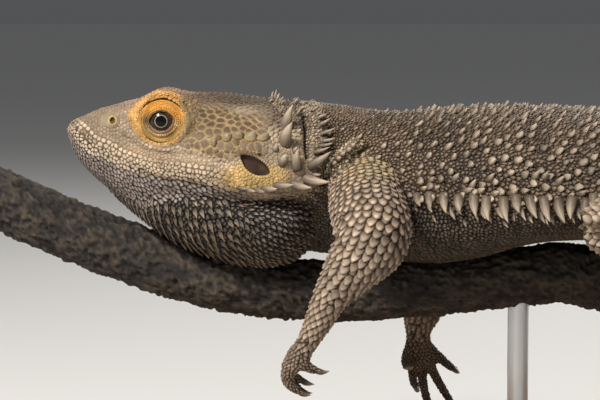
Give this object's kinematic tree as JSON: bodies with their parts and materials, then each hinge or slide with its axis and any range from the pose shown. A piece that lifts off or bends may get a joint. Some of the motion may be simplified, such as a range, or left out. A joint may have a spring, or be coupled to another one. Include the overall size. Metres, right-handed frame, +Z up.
{
  "type": "bearded dragon",
  "caption": "Still life-size bearded dragon lying along a cut branch, forelegs hanging on both sides, held by a plain base and rods.",
  "frame": {"origin": "centre of the stand base's underside", "axes": "+Z up, the animal's head towards -X and its tail towards +X, its left side towards -Y"},
  "size_m": [0.4549, 0.11, 0.099],
  "materials": {
    "head_skin": "scaled hide, pale tan with grey-violet scale centres, orange-yellow eyelids and ochre cheeks",
    "beard_skin": "long pointed scales, dark charcoal with pale edges",
    "back_skin": "scaled hide, taupe and grey-brown with tan spiny scales",
    "tail_skin": "keeled scales in rings, taupe with faint darker bands",
    "limb_skin": "keeled overlapping scales, pale tan over grey-brown",
    "eye": "wet dark iris with a thin gold ring round a black pupil",
    "eardrum": "thin dark brown membrane",
    "claw": "smooth horn, dark at the tip",
    "bark": "rough grey-brown bark, pale wood on the sawn ends",
    "base_wood": "plain oiled wood with a soft edge",
    "rod_steel": "plain brushed rod"
  },
  "bodies": {
    "root": {"head": "head_skin", "jaw": "head_skin", "beard": "beard_skin", "neck": "back_skin", "trunk": "back_skin", "pelvis": "back_skin", "tail_1": "tail_skin", "tail_2": "tail_skin", "tail_3": "tail_skin", "tail_4": "tail_skin", "upper_arm_left": "limb_skin", "forearm_left": "limb_skin", "hand_left": "limb_skin", "thigh_left": "limb_skin", "shank_left": "limb_skin", "foot_left": "limb_skin", "eye_left": "eye", "ear_left": "eardrum", "claw_hand_left_1": "claw", "claw_foot_left_1": "claw", "claw_hand_left_2": "claw", "claw_foot_left_2": "claw", "claw_hand_left_3": "claw", "claw_foot_left_3": "claw", "claw_hand_left_4": "claw", "claw_foot_left_4": "claw", "claw_hand_left_5": "claw", "claw_foot_left_5": "claw", "upper_arm_right": "limb_skin", "forearm_right": "limb_skin", "hand_right": "limb_skin", "thigh_right": "limb_skin", "shank_right": "limb_skin", "foot_right": "limb_skin", "eye_right": "eye", "ear_right": "eardrum", "claw_hand_right_1": "claw", "claw_foot_right_1": "claw", "claw_hand_right_2": "claw", "claw_foot_right_2": "claw", "claw_hand_right_3": "claw", "claw_foot_right_3": "claw", "claw_hand_right_4": "claw", "claw_foot_right_4": "claw", "claw_hand_right_5": "claw", "claw_foot_right_5": "claw", "perch_branch": "bark", "stand_base": "base_wood", "stand_rod_front": "rod_steel", "stand_rod_rear": "rod_steel"}
  },
  "joints": []
}
